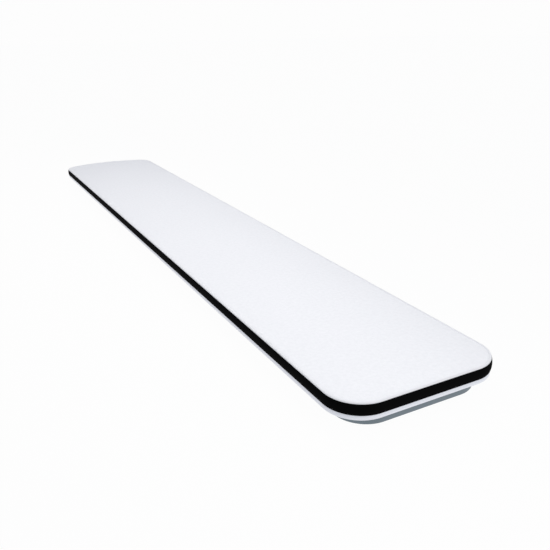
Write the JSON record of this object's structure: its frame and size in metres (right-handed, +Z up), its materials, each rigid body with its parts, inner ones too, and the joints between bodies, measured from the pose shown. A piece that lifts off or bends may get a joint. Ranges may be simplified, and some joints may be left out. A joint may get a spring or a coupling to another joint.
{
  "type": "diving board",
  "caption": "Flat moulded springboard for a pool, with a non-slip deck, a rubber bumper band round its edge and a shallow keel with blind fixing inserts below.",
  "frame": {"origin": "centre of the board's outline, at the flat underside of the keel", "axes": "+Z up out of the deck, +Y towards the fixed rear end with the diving tip at -Y, +X across the board to the right when looking from the tip to the rear"},
  "size_m": [0.5, 3, 0.0835],
  "materials": {
    "deck_gelcoat": "satin",
    "tread_grit": "matte",
    "bumper_rubber": "satin",
    "splice_plastic": "satin",
    "shell_gelcoat": "satin",
    "keel_gelcoat": "satin",
    "glass_laminate": "satin",
    "fir": "matte",
    "hardwood": "matte",
    "foam": "matte",
    "steel": "satin"
  },
  "bodies": {
    "root": {"deck_shell": "deck_gelcoat", "tread": "tread_grit", "edge_band": "bumper_rubber", "band_splice": "splice_plastic", "lower_shell": "shell_gelcoat", "keel_pan": "keel_gelcoat", "laminate_upper": "glass_laminate", "laminate_lower": "glass_laminate", "rail_left": "fir", "rail_right": "fir", "stringer_left": "fir", "stringer_centre": "fir", "stringer_right": "fir", "tip_block": "fir", "rear_block": "fir", "foam_left_outer": "foam", "foam_left_inner": "foam", "foam_right_inner": "foam", "foam_right_outer": "foam", "keel_beam_left": "fir", "keel_beam_right": "fir", "keel_nose_block": "fir", "keel_foam_left": "foam", "keel_foam_centre": "foam", "keel_foam_right": "foam", "fulcrum_block": "hardwood", "anchor_block": "hardwood", "anchor_cap": "hardwood", "anchor_plate": "steel", "anchor_inserts": "steel"}
  },
  "joints": []
}
